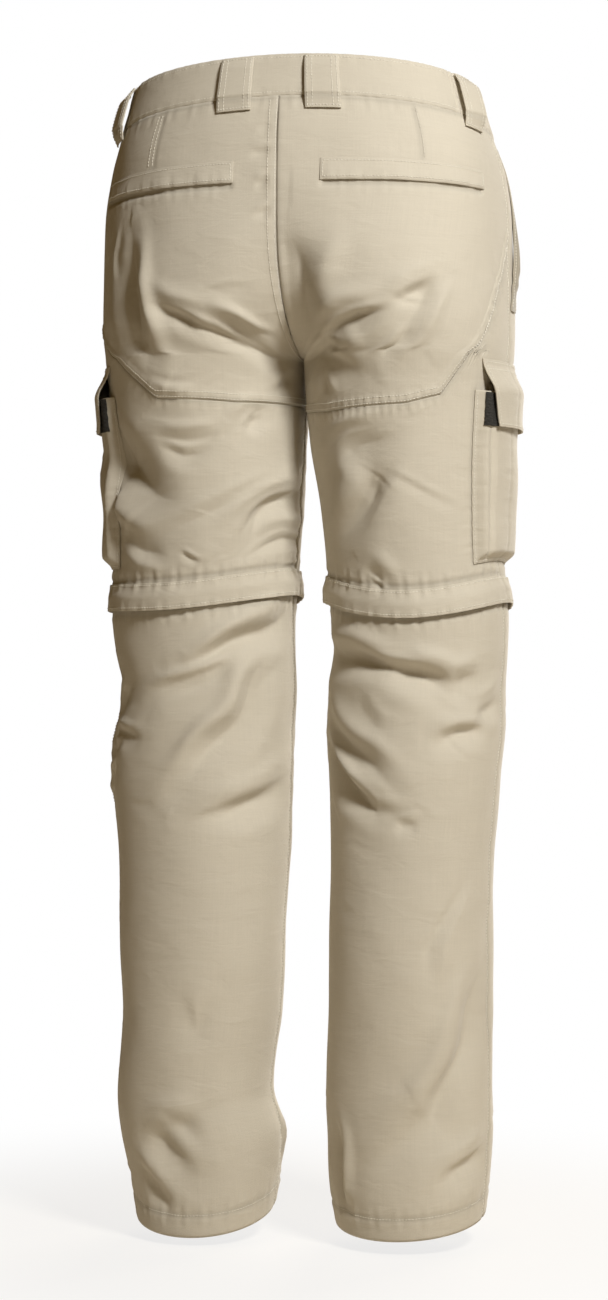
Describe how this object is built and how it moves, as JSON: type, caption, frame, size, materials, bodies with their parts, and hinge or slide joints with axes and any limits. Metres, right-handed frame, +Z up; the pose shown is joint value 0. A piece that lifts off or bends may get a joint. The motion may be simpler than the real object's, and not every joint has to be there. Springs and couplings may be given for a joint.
{
  "type": "trousers",
  "caption": "Zip-off cargo trousers filled out as worn, with an elasticated waistband, belt loops, flapped cargo pockets, knee zips under bands, and open hems.",
  "frame": {"origin": "middle of the waistband ring, half way up the band at the side seams", "axes": "+Z up towards the waist, the front faces -Y, the wearer's left leg is on +X"},
  "size_m": [0.3984, 0.2468, 1.069],
  "materials": {
    "cloth": "fine plain weave, light khaki, slight sheen",
    "pocket_facing": "finely ribbed greyish khaki",
    "hook_tape": "black hook-and-loop tape",
    "zip": "woven tape with moulded teeth",
    "button": "satin moulded plastic"
  },
  "bodies": {
    "root": {"waistband_back": "cloth", "waistband_front_left": "cloth", "waistband_front_right": "cloth", "fly_placket": "cloth", "waist_button": "button", "back_seat_left": "cloth", "back_thigh_left": "cloth", "front_left": "cloth", "lower_back_left": "cloth", "lower_front_left": "cloth", "knee_zip_left": "zip", "knee_band_left": "cloth", "back_pocket_welt_left": "cloth", "cargo_pouch_left": "cloth", "cargo_tape_left": "hook_tape", "cargo_flap_left": "cloth", "front_pocket_facing_left": "pocket_facing", "belt_loop_centre_left": "cloth", "belt_loop_side_left": "cloth", "belt_loop_front_left": "cloth", "back_seat_right": "cloth", "back_thigh_right": "cloth", "front_right": "cloth", "lower_back_right": "cloth", "lower_front_right": "cloth", "knee_zip_right": "zip", "knee_band_right": "cloth", "back_pocket_welt_right": "cloth", "cargo_pouch_right": "cloth", "cargo_tape_right": "hook_tape", "cargo_flap_right": "cloth", "front_pocket_facing_right": "pocket_facing", "belt_loop_centre_right": "cloth", "belt_loop_side_right": "cloth", "belt_loop_front_right": "cloth"}
  },
  "joints": []
}
